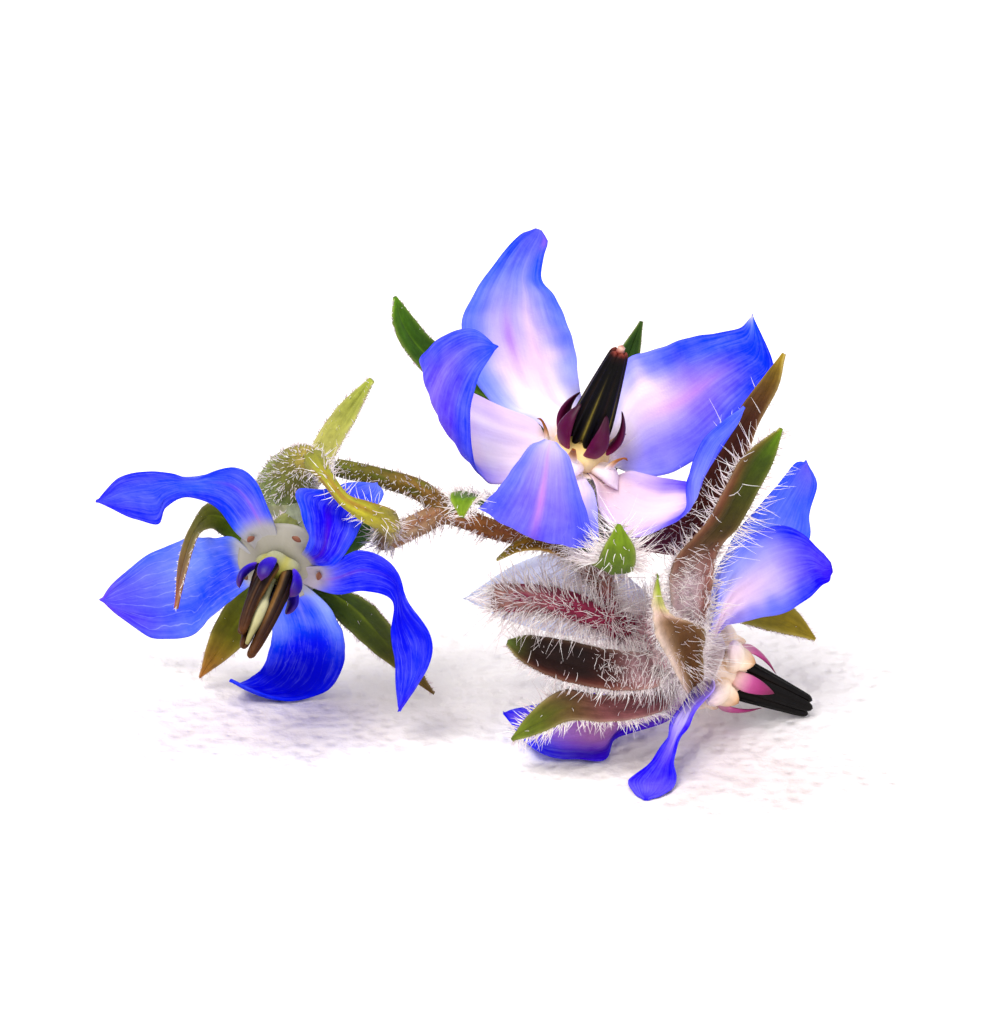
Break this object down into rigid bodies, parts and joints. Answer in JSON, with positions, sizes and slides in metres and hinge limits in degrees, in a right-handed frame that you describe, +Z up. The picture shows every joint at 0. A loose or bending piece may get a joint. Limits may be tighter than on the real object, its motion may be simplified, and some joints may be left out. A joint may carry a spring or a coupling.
{
  "type": "flower sprig",
  "caption": "Borage flowering sprig: star-shaped blue blooms with pointed petals, dark anther cones and hairy calyces, joined by short hairy stalks and lying on their petals",
  "frame": {"origin": "Middle of the sprig's box, on the surface that it lies on", "axes": "+X runs along the sprig from the single low bloom on the left to the pair on the right, +Y to the back, +Z up"},
  "size_m": [0.0462, 0.0176, 0.0314],
  "materials": {
    "stem": "hairy green-brown stalk",
    "petals": "soft matte",
    "pale_petals": "soft matte",
    "calyx": "hairy green",
    "horns": "satin",
    "anthers": "satin",
    "style": "satin"
  },
  "bodies": {
    "root": {"stem": "stem", "corolla_left": "petals", "calyx_left": "calyx", "stamen_horns_left": "horns", "anther_cone_left": "anthers", "style_left": "style", "corolla_centre": "pale_petals", "calyx_centre": "calyx", "stamen_horns_centre": "horns", "anther_cone_centre": "anthers", "style_centre": "style", "corolla_right": "pale_petals", "calyx_right": "calyx", "stamen_horns_right": "horns", "anther_cone_right": "anthers", "style_right": "style"}
  },
  "joints": []
}
